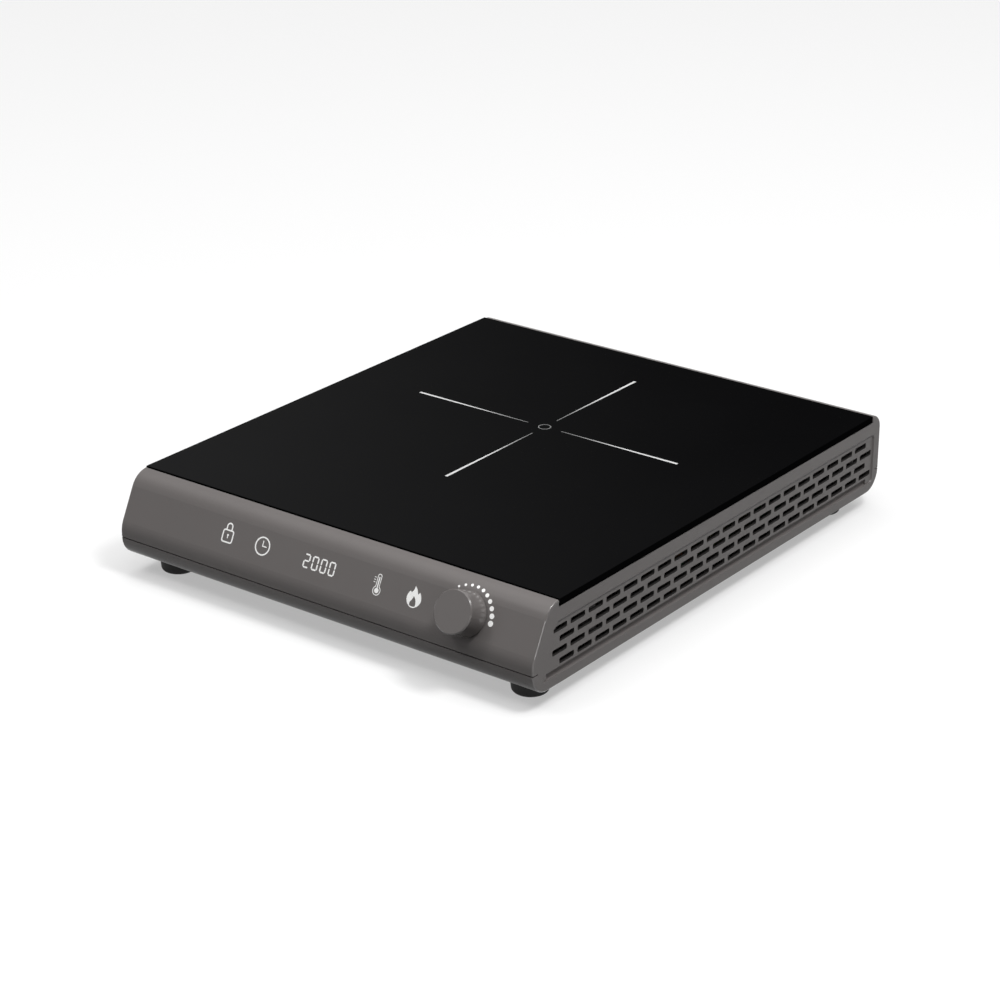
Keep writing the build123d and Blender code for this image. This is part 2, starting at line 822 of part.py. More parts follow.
coil_z = former_top_z + wire_radius
coil_outer_radius = coil_inner_radius + coil_turns * coil_pitch
terminal_top = main_board_top + plug_size[2]
bend_z = coil_z - wire_bend
bend_middle = wire_bend * sin(radians(45))
inner_x = coil_center[0] + coil_inner_radius
outer_x = coil_center[0] + coil_outer_radius
coil_y = coil_center[1]
inner_drop = (inner_x, coil_y - wire_bend)
outer_drop = (outer_x, coil_y + wire_bend)

with BuildPart() as induction_coil:
    with BuildLine():
        Line((*inner_drop, terminal_top), (*inner_drop, bend_z))
        ThreePointArc(
            (*inner_drop, bend_z),
            (inner_x, coil_y - bend_middle, bend_z + bend_middle),
            (inner_x, coil_y, coil_z),
        )
        for half_turn in range(2 * coil_turns):
            side = 1 - 2 * (half_turn % 2)
            start_radius = coil_inner_radius + half_turn * coil_pitch / 2
            end_radius = start_radius + coil_pitch / 2
            middle_x = coil_center[0] + side * (start_radius - end_radius) / 2
            arc_radius = (start_radius + end_radius) / 2
            ThreePointArc(
                (coil_center[0] + side * start_radius, coil_y, coil_z),
                (middle_x, coil_y + side * arc_radius, coil_z),
                (coil_center[0] - side * end_radius, coil_y, coil_z),
            )
        ThreePointArc(
            (outer_x, coil_y, coil_z),
            (outer_x, coil_y + bend_middle, bend_z + bend_middle),
            (*outer_drop, bend_z),
        )
        Line((*outer_drop, bend_z), (*outer_drop, terminal_top))
    with BuildSketch(Plane((*inner_drop, terminal_top))):
        Circle(wire_radius)
    sweep()
save(induction_coil, "induction_coil")

ferrite_middle_radius = ferrite_inner_radius + ferrite_length / 2
half_step = 180 / ferrite_count

with BuildPart() as coil_former:
    with BuildSketch(Plane.XY.offset(former_z)):
        with Locations(coil_center):
            Circle(former_radius)
        with Locations(coil_posts):
            Circle(ear_radius)
        with Locations(coil_center):
            Circle(former_hole, mode=Mode.SUBTRACT)
            with PolarLocations(ferrite_middle_radius, ferrite_count, start_angle=half_step):
                SlotOverall(former_window, ferrite_width, mode=Mode.SUBTRACT)
        with Locations(coil_posts):
            Circle(large_screw[0] + screw_clearance, mode=Mode.SUBTRACT)
        wire_slot = 2 * (wire_radius + wire_slot_clearance)
        with Locations((inner_x, coil_y - wire_bend / 2), (outer_x, coil_y + wire_bend / 2)):
            SlotOverall(wire_bend + wire_slot, wire_slot, rotation=90, mode=Mode.SUBTRACT)
    extrude(amount=former_thickness)
save(coil_former, "coil_former")

with BuildPart() as ferrite_bars:
    with Locations((*coil_center, former_z)):
        with PolarLocations(ferrite_middle_radius, ferrite_count):
            Box(ferrite_length, ferrite_width, ferrite_thickness, align=DOWN)
save(ferrite_bars, "ferrite_bars")

with BuildPart() as mica_sheet:
    with BuildSketch(Plane.XY.offset(mica_z)):
        with Locations(coil_center):
            Circle(coil_outer_radius + mica_margin)
            Circle(mica_hole, mode=Mode.SUBTRACT)
    extrude(amount=mica_thickness)
save(mica_sheet, "mica_sheet")

with BuildPart() as coil_screws:
    screws(coil_posts, former_top_z, large_screw, former_thickness + screw_grip)
save(coil_screws, "coil_screws")

with BuildPart() as sensor_holder:
    with Locations((*coil_center, former_top_z)):
        Cylinder(holder_radius, glass_under_z - sensor_height - former_top_z, align=UP)
save(sensor_holder, "sensor_holder")

with BuildPart() as temperature_sensor:
    with Locations((*coil_center, glass_under_z)):
        Cylinder(sensor_radius, sensor_height, align=DOWN)
save(temperature_sensor, "temperature_sensor")

# Main board with its power parts

with BuildPart() as main_board:
    with Locations((main_board_x, main_board_y, main_board_z)):
        Box(*main_board_size, board_thickness, align=UP)
    with Locations(at_height(board_corners, main_board_z)):
        Cylinder(small_screw[0] + screw_clearance, board_thickness, align=UP, mode=Mode.SUBTRACT)
save(main_board, "main_board")

with BuildPart() as main_board_screws:
    board_screw_length = board_thickness + main_board_standoff - screw_clearance
    screws(board_corners, main_board_top, small_screw, board_screw_length)
save(main_board_screws, "main_board_screws")

with BuildPart() as heatsink:
    with Locations(board_spot(heatsink_place)):
        Box(*heatsink_size, heatsink_base, align=UP)
        fin_pitch = (heatsink_size[0] - heatsink_fin) / (heatsink_fins - 1)
        with GridLocations(fin_pitch, 1, heatsink_fins, 1):
            Box(heatsink_fin, heatsink_size[1], component_height, align=UP)
save(heatsink, "heatsink")


def side_mounted(size, along, legs):
    """A flat power part in the active part, standing on its legs against the heatsink's right side."""
    x = heatsink_place[0] + heatsink_size[0] / 2 + size[0] / 2
    with Locations(board_spot((x, along), main_board_top + leg_height)):
        Box(*size, component_height - leg_height, align=UP)
        with GridLocations(1, size[1] / (legs + 1), 1, legs):
            Box(leg_size, leg_size, leg_height, align=DOWN)


with BuildPart() as power_transistor:
    side_mounted(transistor_size, transistor_along, transistor_legs)
save(power_transistor, "power_transistor")

with BuildPart() as bridge_rectifier:
    side_mounted(rectifier_size, rectifier_along, rectifier_legs)
save(bridge_rectifier, "bridge_rectifier")

with BuildPart() as resonant_capacitor:
    with Locations(board_spot(resonant_capacitor_place)):
        Box(*resonant_capacitor_size, component_height, align=UP)
    fillet(edges().filter_by(Axis.Z), component_round)
save(resonant_capacitor, "resonant_capacitor")

with BuildPart() as filter_capacitor:
    with Locations(board_spot(filter_capacitor_place)):
        Box(*filter_capacitor_size, component_height, align=UP)
    fillet(edges().filter_by(Axis.Z), component_round)
save(filter_capacitor, "filter_capacitor")

with BuildPart() as filter_choke:
    with BuildSketch(Plane(board_spot(choke_place)).offset(choke_wire / 2)):
        Circle(choke_radius + choke_core[0] / 2)
        Circle(choke_radius - choke_core[0] / 2, mode=Mode.SUBTRACT)
    extrude(amount=choke_core[1])
    with Locations(board_spot(choke_place)):
        with PolarLocations(choke_radius, choke_turns):
            Box(choke_core[0] + choke_wire, choke_wire, choke_core[1] + choke_wire, align=UP)
save(filter_choke, "filter_choke")

with BuildPart() as driver_transformer:
    with Locations(board_spot(transformer_place)):
        Box(*transformer_size, align=UP)
    fillet(edges().filter_by(Axis.Z), component_round)
save(driver_transformer, "driver_transformer")

with BuildPart() as control_chip:
    with Locations(board_spot(chip_place)):
        Box(*chip_size, align=UP)
save(control_chip, "control_chip")

with BuildPart() as mains_fuse:
    fuse_middle = board_spot(fuse_place, main_board_top + leg_height + fuse_radius)
    with Locations(fuse_middle):
        Cylinder(fuse_radius, fuse_length, rotation=(0, 90, 0))
        with GridLocations(fuse_length - fuse_cap, 1, 2, 1):
            Box(fuse_cap, 2 * fuse_radius + leg_size, fuse_radius + leg_height, align=DOWN)
save(mains_fuse, "mains_fuse")

with BuildPart() as varistor:
    with Locations(board_spot(varistor_place, main_board_top + leg_height + varistor_radius)):
        Cylinder(varistor_radius, varistor_thickness, rotation=(90, 0, 0))
        with GridLocations(varistor_radius, 1, 2, 1):
            Box(leg_size, leg_size, leg_height + varistor_radius, align=DOWN)
save(varistor, "varistor")

with BuildPart() as terminal_block:
    with Locations(board_spot(terminal_block_place)):
        Box(*terminal_block_size, align=UP)
    with Locations(board_spot(terminal_block_place, main_board_top + terminal_block_size[2])):
        with GridLocations(terminal_pitch, 1, terminals, 1):
            Cylinder(small_screw[1], small_screw[2], align=DOWN, mode=Mode.SUBTRACT)
save(terminal_block, "terminal_block")

with BuildPart() as board_connectors:
    with Locations(board_spot(fan_plug_place), board_spot(sensor_plug_place)):
        Box(*plug_size, align=UP)
save(board_connectors, "board_connectors")

with BuildPart() as coil_terminals:
    with Locations(at_height((inner_drop, outer_drop), main_board_top)):
        Box(plug_size[0], plug_size[0], plug_size[2], align=UP)
save(coil_terminals, "coil_terminals")

# Leads from the sensor and the fan to their plugs on the main board

plug_entry_z = main_board_top + plug_size[2] / 2
sensor_plug = board_spot((sensor_plug_place[0] - plug_size[0] / 2, sensor_plug_place[1]), plug_entry_z)
fan_plug = board_spot((fan_plug_place[0] - plug_size[0] / 2, fan_plug_place[1]), plug_entry_z)

with BuildPart() as sensor_lead:
    with BuildLine():
        FilletPolyline(
            (*coil_center, former_top_z),
            (*coil_center, plug_entry_z + lead_run),
            (coil_center[0], sensor_plug[1] + lead_run, plug_entry_z),
            (sensor_plug[0] - lead_run, sensor_plug[1], plug_entry_z),
            sensor_plug,
            radius=lead_bend,
        )
    with BuildSketch(Plane((*coil_center, former_top_z))):
        Circle(sensor_wire_radius)
    sweep()
save(sensor_lead, "sensor_lead")

fan_side_x = fan_x + fan_size / 2
with BuildPart() as fan_lead:
    with BuildLine():
        FilletPolyline(
            (fan_side_x, fan_plug[1] + lead_run, plug_entry_z),
            (fan_side_x + fan_lead_straight, fan_plug[1] + lead_run, plug_entry_z),
            (fan_plug[0] - fan_lead_straight, fan_plug[1], plug_entry_z),
            fan_plug,
            radius=lead_bend,
        )
    with BuildSketch(Plane((fan_side_x, fan_plug[1] + lead_run, plug_entry_z), z_dir=(1, 0, 0))):
        Circle(fan_lead_radius)
    sweep()
save(fan_lead, "fan_lead")

# Cooling fan over the intake

fan_spot = (fan_x, fan_y, floor_z)
fan_deck_z = floor_z + fan_plate
cup_low_z = fan_deck_z + fan_cup_gap
cup_top_z = fan_top_z - fan_cup_gap
cup_inner_radius = fan_hub_radius - fan_hub_wall
magnet_outer_radius = cup_inner_radius - fan_magnet_gap
magnet_inner_radius = magnet_outer_radius - fan_magnet_thickness
stator_top_z = cup_top_z - fan_hub_wall - fan_cup_gap

with BuildPart() as fan_frame:
    with Locations(fan_spot):
        Box(fan_size, fan_size, fan_height, align=UP)
        Cylinder(fan_bore, fan_height, align=UP, mode=Mode.SUBTRACT)
        Cylinder(fan_hub_radius, fan_plate, align=UP)
        with PolarLocations(0, fan_spokes):
            with Locations((fan_bore / 2, 0, 0)):
                Box(fan_bore + fan_plate, fan_spoke_width, fan_plate, align=UP)
    with Locations((fan_x, fan_y, fan_deck_z)):
        Cylinder(fan_tube_radius + fan_hub_wall, fan_collar_height, align=UP)
        Cylinder(fan_tube_radius, stator_top_z - fan_deck_z, align=UP)
        Cylinder(
            fan_shaft_radius + running_fit,
            stator_top_z - fan_deck_z,
            align=UP,
            mode=Mode.SUBTRACT,
        )
    with Locations(at_height(fan_corners, floor_z)):
        Cylinder(small_screw[0] + screw_clearance, fan_height, align=UP, mode=Mode.SUBTRACT)
save(fan_frame, "fan_frame")

with BuildPart() as fan_stator:
    with BuildSketch(Plane.XY.offset(fan_deck_z + fan_collar_height)):
        with Locations((fan_x, fan_y)):
            Circle(magnet_inner_radius - fan_air_gap)
            Circle(fan_tube_radius + running_fit, mode=Mode.SUBTRACT)
    extrude(amount=stator_top_z - fan_deck_z - fan_collar_height - fan_cup_gap)
save(fan_stator, "fan_stator")

with BuildPart() as fan_rotor:
    with Locations((fan_x, fan_y, cup_low_z)):
        Cylinder(fan_hub_radius, cup_top_z - cup_low_z, align=UP)
        Cylinder(cup_inner_radius, cup_top_z - cup_low_z - fan_hub_wall, align=UP, mode=Mode.SUBTRACT)
    with Locations((fan_x, fan_y, fan_deck_z)):
        Cylinder(fan_shaft_radius, cup_top_z - fan_deck_z, align=UP)
    blade_tip = fan_bore - fan_tip_gap
    blade_length = blade_tip - cup_inner_radius - fan_hub_wall / 2
    with Locations((fan_x, fan_y, (cup_low_z + cup_top_z) / 2)):
        with PolarLocations(blade_tip - blade_length / 2, fan_blades):
            Box(
                blade_length,
                fan_blade_thickness,
                cup_top_z - cup_low_z,
                rotation=(fan_blade_twist, 0, 0),
            )
save(fan_rotor, "fan_rotor")

with BuildPart() as fan_magnet:
    with BuildSketch(Plane.XY.offset(cup_low_z + fan_cup_gap)):
        with Locations((fan_x, fan_y)):
            Circle(magnet_outer_radius)
            Circle(magnet_inner_radius, mode=Mode.SUBTRACT)
    extrude(amount=cup_top_z - fan_hub_wall - cup_low_z - fan_cup_gap)
save(fan_magnet, "fan_magnet")

with BuildPart() as fan_screws:
    screws(fan_corners, fan_top_z, small_screw, fan_height + fan_screw_grip - screw_clearance)
save(fan_screws, "fan_screws")

# Cord gland: flange outside the rear wall, neck through it and a barb behind it

gland_face = Plane((gland_x, rear_y, bottom_z + gland_height), x_dir=(1, 0, 0), z_dir=(0, 1, 0))

with BuildPart() as cord_gland:
    with BuildSketch(gland_face):
        Circle(gland_flange_radius)
    extrude(amount=gland_flange)
    with BuildSketch(gland_face):
        Circle(gland_radius - screw_clearance)
    extrude(amount=-wall - gland_tail)
    with BuildSketch(gland_face.offset(-wall)):
        Circle(gland_radius + gland_barb)
    extrude(amount=-gland_barb_length)
    with BuildSketch(gland_face.offset(gland_flange)):
        Circle(gland_bore)
    extrude(amount=-gland_flange - wall - gland_tail, mode=Mode.SUBTRACT)
save(cord_gland, "cord_gland")
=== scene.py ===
"""Looks of the portable induction cooktop: finishes, panel signs, glass print, studio and camera."""

import json
from math import asin, cos, degrees, pi, radians, sin

import bmesh
import bpy
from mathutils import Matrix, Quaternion, Vector


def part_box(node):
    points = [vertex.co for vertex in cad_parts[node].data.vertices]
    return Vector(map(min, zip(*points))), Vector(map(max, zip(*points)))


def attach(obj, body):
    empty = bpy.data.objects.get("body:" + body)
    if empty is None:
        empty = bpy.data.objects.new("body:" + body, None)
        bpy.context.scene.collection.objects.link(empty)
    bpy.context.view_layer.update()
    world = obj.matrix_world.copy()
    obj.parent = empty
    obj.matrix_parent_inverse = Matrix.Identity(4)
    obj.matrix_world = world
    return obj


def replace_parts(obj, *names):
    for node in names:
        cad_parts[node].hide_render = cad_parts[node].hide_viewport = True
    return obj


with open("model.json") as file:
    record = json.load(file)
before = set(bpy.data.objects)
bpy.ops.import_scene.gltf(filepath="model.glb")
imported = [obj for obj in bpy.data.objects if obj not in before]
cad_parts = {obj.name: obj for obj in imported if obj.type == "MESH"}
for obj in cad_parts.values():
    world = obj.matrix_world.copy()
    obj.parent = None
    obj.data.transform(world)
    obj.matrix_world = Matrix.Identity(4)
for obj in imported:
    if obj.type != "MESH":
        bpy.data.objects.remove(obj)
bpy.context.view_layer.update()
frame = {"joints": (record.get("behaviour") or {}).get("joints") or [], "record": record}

MM = 0.001

# Front panel, from the knob's axis and the housing's rounded top edge
knob_joint = next(joint for joint in frame["joints"] if joint["name"] == "knob_turn")
knob_x = knob_joint["pos_m"][0] / MM
panel_normal = Vector(knob_joint["axis"]).normalized()
panel_up = panel_normal.cross(Vector((1, 0, 0)))
panel_middle = Vector((0, *knob_joint["pos_m"][1:]))
panel_flat = 9.33 * MM
top_edge_radius = 13.5 * MM
print_sunk = 0.02
print_raised = 0.05

# Panel signs, millimetres across the panel and up its slope
sign_stroke = 0.8
thin_stroke = 0.6
fine_stroke = 0.4
lock_x = -68.3
lock_body = (7.2, 6.7)
lock_middle = -0.85
lock_corner = 1.2
shackle_radius = 1.8
shackle_top = 6.4
keyhole_radius = 0.6
keyhole_top = -0.2
keyhole_bottom = -2.0
keyhole_overlap = 0.8
clock_x = -43.0
clock_radius = 4.85
clock_hour = 2.9
clock_minute = 3.1
power_digits = "2000"
digits_x = -2.35
digit_pitch = 5.9
digit_width = 3.5
digit_half_height = 3.5
segment_width = 0.85
segment_gap = 0.1
lit_segments = {"0": "abcdef", "2": "abged"}
thermometer_x = 38.4
tube_radius = 1.15
tube_top = 4.5
bulb_radius = 2.4
bulb_middle = -3.3
filling_radius = 1.4
filling_width = 0.7
filling_top = 4.1
filling_overlap = 0.9
tick_heights = (3.5, 2.2, 0.9)
tick_ends = (35.1, 36.3)
flame_points = (
    (62.2, 5.6), (63.8, 4.0), (64.7, 2.2), (65.1, 1.6), (66.1, 2.9), (67.2, 1.0), (67.8, -1.5),
    (67.2, -3.4), (66.0, -4.8), (64.7, -5.5), (64.9, -4.0), (64.3, -1.6), (62.7, 0.3),
    (62.0, -1.8), (60.9, -3.8), (61.4, -5.5), (60.0, -4.7), (58.9, -3.2), (58.4, -1.4),
    (58.8, 0.8), (59.8, 2.5), (60.7, 1.7), (61.8, 3.3),
)
flame_tips = (0, 3, 4, 9, 12, 15, 20, 21)
flame_foot = ((61.0, -5.25), (62.1, -5.65), (63.8, -5.65), (65.0, -5.25))
level_dots = {
    "Count": 10,
    "Ring radius": 16.0,
    "First angle": radians(125.2),
    "Angle step": radians(-14.03),
    "First diameter": 1.25,
    "Last diameter": 3.1,
    "Thickness": print_raised,
}
level_middle = (knob_x - 0.6, -0.6)

# Glass print, millimetres round the cooking zone's middle
zone = next(mount for mount in frame["record"]["mounts"] if mount["name"] == "pan_surface")["pos_m"]
zone_arms = {
    "Arms": 4,
    "Inner end": 12.0,
    "Outer end": 93.5,
    "Inner width": 0.5,
    "Outer width": 1.8,
    "Thickness": print_raised,
}
zone_ring_radius = 3.6
full_ink_share = 0.7

# Screws in the base, millimetres
screw_columns = 2
screw_rows = 2
base_screw = {
    "Head radius": 3.4,
    "Head height": 2.2,
    "Shank radius": 1.9,
    "Recess length": 4.2,
    "Recess width": 0.9,
    "Recess depth": 1.4,
}

# Steps and sides of round shapes
ring_steps = 48
small_ring_steps = 24
corner_steps = 6
shackle_steps = 16
bulb_steps = 32
cap_steps = 12
outline_steps = 6
dot_sides = 28
screw_head_sides = 40
screw_shank_sides = 32

# Tones of the finishes, dark and light
housing_tones = ((0.164, 0.152, 0.148), (0.176, 0.163, 0.159))
# Painted shade for the inner faces of the side slots, not the plastic's own colour
slot_shade_tone = (0.030, 0.028, 0.027)
knob_tones = ((0.156, 0.144, 0.140), (0.168, 0.155, 0.151))
glass_tones = ((0.0030, 0.0030, 0.0033), (0.0042, 0.0042, 0.0045))
ground_tones = ((0.0024, 0.0024, 0.0026), (0.0036, 0.0036, 0.0038))
rubber_tones = ((0.007, 0.007, 0.007), (0.014, 0.014, 0.014))
sign_tones = ((0.80, 0.80, 0.79), (0.86, 0.86, 0.85))
ink_tones = ((0.60, 0.60, 0.60), (0.78, 0.78, 0.78))
thin_ink_tone = (0.22, 0.22, 0.22)
board_tones = ((0.012, 0.085, 0.035), (0.020, 0.135, 0.058))
pad_tone = (0.55, 0.55, 0.52)
copper_tones = ((0.24, 0.075, 0.022), (0.52, 0.20, 0.075))
mica_tones = ((0.42, 0.34, 0.22), (0.66, 0.58, 0.43))

# Plain mouldings: dark tone, light tone, roughness and, where it isn't fine, the grain's scale
mouldings = {
    "black_silicone": ((0.008, 0.008, 0.008), (0.013, 0.013, 0.013), 0.6),
    "white_silicone": ((0.62, 0.62, 0.60), (0.72, 0.72, 0.70), 0.55),
    "black_plastic": ((0.014, 0.014, 0.015), (0.022, 0.022, 0.023), 0.45),
    "white_plastic": ((0.66, 0.65, 0.61), (0.76, 0.75, 0.71), 0.4),
    "grey_insulation": ((0.22, 0.22, 0.23), (0.30, 0.30, 0.31), 0.5),
    "ferrite": ((0.022, 0.022, 0.024), (0.045, 0.045, 0.047), 0.62, 900),
    "film_capacitor": ((0.46, 0.30, 0.045), (0.56, 0.38, 0.07), 0.38),
}

# Drawn metals: dark tone, light tone, roughness and how the drawn lines are stretched
drawn_metals = {
    "zinc_steel": ((0.46, 0.46, 0.45), (0.66, 0.66, 0.65), 0.22, (1, 1, 0.06)),
    "bare_aluminium": ((0.58, 0.59, 0.60), (0.74, 0.75, 0.76), 0.26, (1, 0.05, 1)),
    "brass_parts": ((0.50, 0.34, 0.12), (0.68, 0.49, 0.20), 0.24, (0.1, 1, 1)),
}

# Camera, from the middle of the glass plate's front edge
glass_low, glass_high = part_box("glass_top")
camera_aim = Vector((44.5 * MM, glass_low.y + 82.0 * MM, glass_high.z))
camera_turn = radians(37.18)
camera_rise = radians(23.37)
camera_distance = 1.5063
camera_lens = 98.5
camera_sensor = 36.0

# Room that the side slots' inner faces take, behind the slotted face, where the housing's colour gets
# painted shade
slots_face = glass_high.x - 0.95 * MM
slots_back = glass_high.x - 4.5 * MM
slots_x = (slots_face + slots_back) / 2
slots_reach = (slots_face - slots_back) / 2
slots_y = glass_low.y + 156.5 * MM
slots_half_length = 163.0 * MM
slots_z = glass_high.z - 26.7 * MM
slots_half_height = 11.9 * MM

# Smooth rounded edges at both ends of the front
edge_start = glass_high.x - 0.78 * MM
edge_end = glass_high.x - 0.6 * MM
edge_limit = glass_high.x - 0.02 * MM
edge_back = glass_low.y - 1.0 * MM

# Ground edge of the glass, millimetres
edge_skin = 0.03
edge_sunk = 0.1
edge_below_face = 0.15

# Studio, metres and watts
ceiling_strength = 1.8
ceiling_stops = ((0.72, 0.0), (0.84, 1.0))
band_strength = 0.155
band_rise = (0.35, 0.55)
band_fall = (0.59, 0.82)
seen_rays = ("Camera", "Glossy", "Transmission")
floor_shown = (0.55, 0.55, 0.55)
floor_glow = (0.42, 0.42, 0.42)
floor_bounced = (0.05, 0.05, 0.05)
floor_flat = 5.0
floor_bend = 1.5
floor_height = 1.2
floor_steps = 48
bend_steps = 8
softboxes = {
    "key_softbox": {
        "place": (1.00, -0.12, 1.75), "target": (0, 0, 0.03), "size": (0.45, 0.45), "power": 18.0,
    },
    "left_softbox": {
        "place": (-1.22, -1.70, 0.80), "target": (0, -0.15, 0.04), "size": (0.9, 0.9), "power": 1.8,
    },
    "front_softbox": {
        "place": (-0.55, -1.00, 1.50), "target": (0, -0.15, 0.04), "size": (0.35, 0.35), "power": 3.6,
    },
    "edge_strip": {
        "place": (1.395, -1.107, 0.37), "target": (0.145, -0.165, 0.04), "size": (1.3, 0.15),
        "power": 2.5, "roll": radians(-20),
    },
}


class Wire:
    """A node's output that takes part in Python sums."""

    def __init__(self, nodes, socket):
        self.nodes = nodes
        self.socket = socket

    def sum(self, operation, first, second):
        return self.nodes.node("ShaderNodeMath", {"operation": operation}, {0: first, 1: second})

    def __add__(self, other):
        return self.sum("ADD", self, other)

    def __radd__(self, other):
        return self.sum("ADD", other, self)

    def __sub__(self, other):
        return self.sum("SUBTRACT", self, other)

    def __rsub__(self, other):
        return self.sum("SUBTRACT", other, self)

    def __mul__(self, other):
        return self.sum("MULTIPLY", self, other)

    def __rmul__(self, other):
        return self.sum("MULTIPLY", other, self)

    def __truediv__(self, other):
        return self.sum("DIVIDE", self, other)

    def __pow__(self, other):
        return self.sum("POWER", self, other)

    def __lt__(self, other):
        return self.sum("LESS_THAN", self, other)


class Nodes:
    """A node tree and the one way that its nodes are made."""

    def __init__(self, tree):
        self.tree = tree

    def node(self, kind, settings=None, sockets=None, output=0):
        made = self.tree.nodes.new(kind)
        for name, value in (settings or {}).items():
            if name == "stops":
                self.set_stops(made.color_ramp.elements, value)
            else:
                setattr(made, name, value)
        for name, value in (sockets or {}).items():
            for wire in value if isinstance(value, list) else [value]:
                self.join(made.inputs[name], wire)
        return Wire(self, made.outputs[output]) if made.outputs else made

    def join(self, socket, value):
        if isinstance(value, Wire):
            self.tree.links.new(value.socket, socket)
        else:
            socket.default_value = value

    def set_stops(self, elements, stops):
        while len(elements) < len(stops):
            elements.new(1.0)
        for element, (place, level) in zip(elements, stops):
            element.position = place
            element.color = (level, level, level, 1.0)

    def colour(self, value):
        return value if isinstance(value, Wire) else (*value, 1.0)

    def mix(self, factor, first, second):
        sockets = {0: factor, 6: self.colour(first), 7: self.colour(second)}
        return self.node("ShaderNodeMix", {"data_type": "RGBA"}, sockets, output=2)

    def vector(self, x, y, z):
        return self.node("ShaderNodeCombineXYZ", None, {0: x, 1: y, 2: z})

    def axis(self, vector, name):
        return self.node("ShaderNodeSeparateXYZ", None, {0: vector}, output=name)

    def smooth_step(self, value, low, high):
        settings = {"interpolation_type": "SMOOTHSTEP"}
        return self.node("ShaderNodeMapRange", settings, {0: value, 1: low, 2: high})


class Finish(Nodes):
    """A surface finish: one Principled shader and the patterns that drive it."""

    def __init__(self, name, constants=None):
        self.material = bpy.data.materials.get(name) or bpy.data.materials.new(name)
        self.material.use_nodes = True
        super().__init__(self.material.node_tree)
        self.tree.nodes.clear()
        shader = self.node("ShaderNodeBsdfPrincipled", None, constants)
        self.node("ShaderNodeOutputMaterial", None, {"Surface": shader})
        self.inputs = shader.socket.node.inputs
        self.places = self.node("ShaderNodeTexCoord", output="Object")

    def feed(self, wires):
        for name, wire in wires.items():
            self.join(self.inputs[name], wire)

    def stretched(self, scale):
        return self.node("ShaderNodeMapping", None, {"Vector": self.places, "Scale": scale})

    def noise(self, scale, detail=2.0, places=None):
        sockets = {"Vector": places or self.places, "Scale": scale, "Detail": detail}
        return self.node("ShaderNodeTexNoise", None, sockets)

    def cells(self, scale, feature="F1", places=None):
        sockets = {"Vector": places or self.places, "Scale": scale}
        return self.node("ShaderNodeTexVoronoi", {"feature": feature}, sockets)

    def bump(self, height, depth, strength):
        sockets = {"Height": height, "Distance": depth, "Strength": strength}
        self.feed({"Normal": self.node("ShaderNodeBump", None, sockets)})


# Finishes of the outer pieces

def housing_plastic():
    """Warm grey grained moulding, smooth on the front's rounded edges, with painted shade on the side
    slots' inner faces.
    """
    finish = Finish("housing_plastic", {"Specular IOR Level": 0.2, "Coat Roughness": 0.1})
    grain = finish.noise(scale=2600)
    cloud = finish.noise(scale=26, detail=3)
    x, y, z = (finish.axis(finish.places, name) for name in "XYZ")
    sideways = finish.node("ShaderNodeMath", {"operation": "ABSOLUTE"}, {0: x})
    # Painted shade: the slots' inner faces, found by position, are darkened to the slot tone in the
    # base colour
    painted_slot_shade = 1.0
    for value, middle, half in (
        (sideways, slots_x, slots_reach),
        (y, slots_y, slots_half_length),
        (z, slots_z, slots_half_height),
    ):
        offset = finish.node("ShaderNodeMath", {"operation": "ABSOLUTE"}, {0: value - middle})
        painted_slot_shade = painted_slot_shade * (offset < half)
    clean = finish.mix(cloud, *housing_tones)
    rounded = finish.smooth_step(sideways, edge_start, edge_end)
    edge = rounded * (sideways < edge_limit) * (y < edge_back)
    grained = 0.24 + 0.05 * cloud + 0.04 * grain + 0.4 * painted_slot_shade
    finish.feed({
        "Base Color": finish.mix(painted_slot_shade, clean, slot_shade_tone),
        "Roughness": grained - 0.16 * edge,
        "Coat Weight": edge,
    })
    finish.bump(grain * (1.0 - edge), depth=0.02 * MM, strength=0.25)


def knob_plastic():
    """The housing's grey, with a finer satin."""
    finish = Finish("knob_plastic", {"Specular IOR Level": 0.45})
    grain = finish.noise(scale=4200, detail=1)
    cloud = finish.noise(scale=60)
    finish.feed({
        "Base Color": finish.mix(cloud, *knob_tones),
        "Roughness": 0.15 + 0.04 * cloud + 0.03 * grain,
    })
    finish.bump(grain, depth=0.01 * MM, strength=0.15)


def black_glass():
    """Polished black glass-ceramic with a trace of haze."""
    finish = Finish("black_glass", {"IOR": 1.5, "Specular IOR Level": 0.25})
    haze = finish.noise(scale=14, detail=4)
    finish.feed({
        "Base Color": finish.mix(haze, *glass_tones),
        "Roughness": 0.05 + 0.05 * haze,
    })
    finish.bump(finish.noise(scale=9, detail=1), depth=0.004 * MM, strength=0.2)


def ground_edge():
    """Black glass ground matt."""
    finish = Finish("ground_edge", {"Specular IOR Level": 0.0})
    grit = finish.noise(scale=3000, detail=3)
    finish.feed({
        "Base Color": finish.mix(grit, *ground_tones),
        "Roughness": 0.55 + 0.15 * grit,
    })
    finish.bump(grit, depth=0.01 * MM, strength=0.4)
    return finish.material


def foot_rubber():
    """Matt black rubber."""
    finish = Finish("foot_rubber")
    pores = finish.noise(scale=1500, detail=3)
    dust = finish.noise(scale=90, detail=3)
    finish.feed({
        "Base Color": finish.mix(dust, *rubber_tones),
        "Roughness": 0.62 + 0.18 * pores,
    })
    finish.bump(pores, depth=0.03 * MM, strength=0.5)


def lit_sign():
    """White print, lit from behind."""
    finish = Finish("lit_sign", {"Roughness": 0.4, "Emission Strength": 0.25})
    speckle = finish.noise(scale=900)
    glow = finish.mix(speckle, *sign_tones)
    finish.feed({"Base Color": glow, "Emission Color": glow})
    return finish.material


